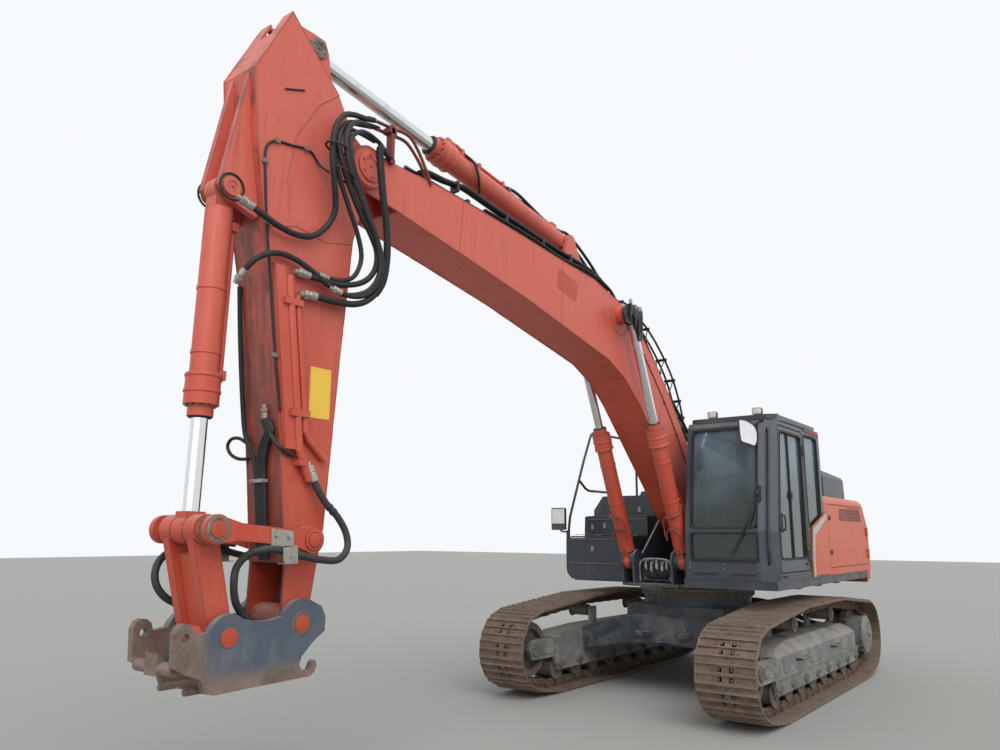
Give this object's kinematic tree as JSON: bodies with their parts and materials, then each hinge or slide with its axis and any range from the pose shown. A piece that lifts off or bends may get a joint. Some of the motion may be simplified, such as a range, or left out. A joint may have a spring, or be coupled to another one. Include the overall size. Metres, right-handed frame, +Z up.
{
  "type": "crawler excavator",
  "caption": "Tracked excavator with slewing cab, bent boom, arm and hydraulic cylinders, carrying an empty quick coupler on its link.",
  "frame": {"origin": "slew axis at ground level, tracks standing on z = 0", "axes": "+X forward along the boom, +Y to the machine's left, +Z up"},
  "size_m": [10.7235, 3.317, 5.3457],
  "materials": {
    "orange_paint": "weathered semi-gloss orange-red paint",
    "dark_paint": "weathered dark blue-grey paint",
    "grey_paint": "dusty grey paint",
    "track_steel": "rusty worn steel",
    "rusty_steel": "dusty brown steel",
    "weight_iron": "cast iron under orange-red paint",
    "engine_iron": "dark cast iron",
    "chrome_rod": "polished chrome",
    "pane_glass": "slightly tinted glass",
    "black_plastic": "matt black plastic",
    "seat_fabric": "dark woven fabric",
    "black_steel": "black painted tube",
    "lamp_body": "clear lamp with black body"
  },
  "bodies": {
    "undercarriage": {"car_body": "dark_paint", "side_frames": "grey_paint", "track_left": "track_steel", "track_right": "track_steel", "idlers": "rusty_steel", "sprockets": "rusty_steel", "travel_motors": "grey_paint", "track_rollers": "rusty_steel", "slew_ring": "rusty_steel", "tow_eyes": "dark_paint"},
    "upper": {"revolving_frame": "dark_paint", "cab_shell": "dark_paint", "cab_glass": "pane_glass", "operator_seat": "seat_fabric", "cab_controls": "black_plastic", "counterweight": "weight_iron", "left_housing": "orange_paint", "right_housing": "orange_paint", "engine_cover": "orange_paint", "engine_block": "engine_iron", "fuel_tank": "dark_paint", "tool_box": "dark_paint", "handrails": "black_steel", "mirrors": "black_plastic", "exhaust_pipe": "rusty_steel", "work_lamps": "lamp_body", "lifting_eyes": "orange_paint"},
    "cab_door": {"cab_door": "dark_paint", "cab_door_glass": "pane_glass"},
    "engine_hood": {"engine_hood": "dark_paint"},
    "left_door": {"left_service_door": "orange_paint"},
    "right_door": {"right_service_door": "orange_paint"},
    "tool_box_lid": {"tool_box_lid": "dark_paint"},
    "boom": {"boom": "orange_paint", "boom_pipes": "black_steel"},
    "boom_cylinder_left": {"boom_barrel_left": "orange_paint"},
    "boom_cylinder_right": {"boom_barrel_right": "orange_paint"},
    "boom_cylinder_rod_left": {"boom_rod_left": "chrome_rod"},
    "boom_cylinder_rod_right": {"boom_rod_right": "chrome_rod"},
    "arm": {"arm": "orange_paint", "arm_pipes": "orange_paint"},
    "arm_cylinder": {"arm_barrel": "orange_paint"},
    "arm_cylinder_rod": {"arm_rod": "chrome_rod"},
    "coupler_cylinder": {"coupler_barrel": "orange_paint"},
    "coupler_cylinder_rod": {"coupler_rod": "chrome_rod"},
    "guide_link": {"guide_links": "orange_paint"},
    "power_link": {"power_link": "orange_paint"},
    "coupler": {"coupler": "dark_paint"}
  },
  "joints": [
    {"name": "slew", "type": "hinge", "parent": "undercarriage", "child": "upper", "pos_m": [0, 0, 1.2], "axis": [0, 0, 1], "continuous": true},
    {"name": "cab_door_swing", "type": "hinge", "parent": "upper", "child": "cab_door", "pos_m": [0.246, 1.511, 2.2], "axis": [0, 0, 1], "range_deg": [0, 165]},
    {"name": "engine_hood_lift", "type": "hinge", "parent": "upper", "child": "engine_hood", "pos_m": [-1.46, 0, 2.314], "axis": [0, 1, 0], "range_deg": [0, 60]},
    {"name": "left_door_swing", "type": "hinge", "parent": "upper", "child": "left_door", "pos_m": [-2.5337, 1.511, 1.8], "axis": [0, 0, 1], "range_deg": [0, 110]},
    {"name": "right_door_swing", "type": "hinge", "parent": "upper", "child": "right_door", "pos_m": [-2.5337, -1.511, 1.8], "axis": [0, 0, -1], "range_deg": [0, 110]},
    {"name": "tool_box_lift", "type": "hinge", "parent": "upper", "child": "tool_box_lid", "pos_m": [0.316, -0.98, 1.788], "axis": [0, -1, 0], "range_deg": [0, 80]},
    {"name": "boom_lift", "type": "hinge", "parent": "upper", "child": "boom", "pos_m": [0.191, 0, 2.048], "axis": [0, -1, 0], "range_deg": [-55, 38]},
    {"name": "arm_pull", "type": "hinge", "parent": "boom", "child": "arm", "pos_m": [6.13331, 0, 4.42475], "axis": [0, 1, 0], "range_deg": [-75, 36]},
    {"name": "coupler_curl", "type": "hinge", "parent": "arm", "child": "coupler", "pos_m": [6.51347, 0, 1.24747], "axis": [0, 1, 0], "range_deg": [-50, 125]},
    {"name": "boom_barrel_left_pivot", "type": "hinge", "parent": "upper", "child": "boom_cylinder_left", "pos_m": [1.13, 0.35, 1.5], "axis": [0, -1, 0], "range_deg": [-55.68, 38.48]},
    {"name": "boom_rod_left_slide", "type": "slide", "parent": "boom_cylinder_left", "child": "boom_cylinder_rod_left", "axis": [0.3964, 0, 0.9181], "range_m": [-0.885, 0.6118]},
    {"name": "boom_barrel_right_pivot", "type": "hinge", "parent": "upper", "child": "boom_cylinder_right", "pos_m": [1.13, -0.35, 1.5], "axis": [0, -1, 0], "range_deg": [-55.68, 38.48]},
    {"name": "boom_rod_right_slide", "type": "slide", "parent": "boom_cylinder_right", "child": "boom_cylinder_rod_right", "axis": [0.3964, 0, 0.9181], "range_m": [-0.885, 0.6118]},
    {"name": "arm_barrel_pivot", "type": "hinge", "parent": "boom", "child": "arm_cylinder", "pos_m": [3.1, 0, 4.805], "axis": [0, -1, 0], "range_deg": [-2.48, 5.14]},
    {"name": "arm_rod_slide", "type": "slide", "parent": "arm_cylinder", "child": "arm_cylinder_rod", "axis": [0.9922, 0, 0.1248], "range_m": [-1.0322, 0.496]},
    {"name": "coupler_barrel_pivot", "type": "hinge", "parent": "arm", "child": "coupler_cylinder", "pos_m": [7.15231, 0, 3.93175], "axis": [0, -1, 0], "range_deg": [-6.33, 2.54]},
    {"name": "coupler_rod_slide", "type": "slide", "parent": "coupler_cylinder", "child": "coupler_cylinder_rod", "axis": [0.0142, 0, -0.9999], "range_m": [-0.3265, 0.8147]},
    {"name": "guide_link_pivot", "type": "hinge", "parent": "arm", "child": "guide_link", "pos_m": [6.49947, 0, 1.75347], "axis": [0, 1, 0], "range_deg": [-32.05, 80.1]},
    {"name": "power_link_pivot", "type": "hinge", "parent": "guide_link", "child": "power_link", "pos_m": [7.18247, 0, 1.81247], "axis": [0, 1, 0], "range_deg": [-46.94, 18.79]}
  ],
  "couplings": [
    {"joint": "boom_barrel_left_pivot", "follows": "boom_lift", "ratio": 1.011},
    {"joint": "boom_rod_left_slide", "follows": "boom_lift", "m_per_rad": 0.92},
    {"joint": "boom_barrel_right_pivot", "follows": "boom_lift", "ratio": 1.011},
    {"joint": "boom_rod_right_slide", "follows": "boom_lift", "m_per_rad": 0.92},
    {"joint": "arm_barrel_pivot", "follows": "arm_pull", "ratio": -0.0682},
    {"joint": "arm_rod_slide", "follows": "arm_pull", "m_per_rad": 0.787},
    {"joint": "coupler_barrel_pivot", "follows": "coupler_curl", "ratio": -0.0504},
    {"joint": "coupler_rod_slide", "follows": "coupler_curl", "m_per_rad": 0.3726},
    {"joint": "guide_link_pivot", "follows": "coupler_curl", "ratio": 0.64},
    {"joint": "power_link_pivot", "follows": "coupler_curl", "ratio": -0.375}
  ]
}
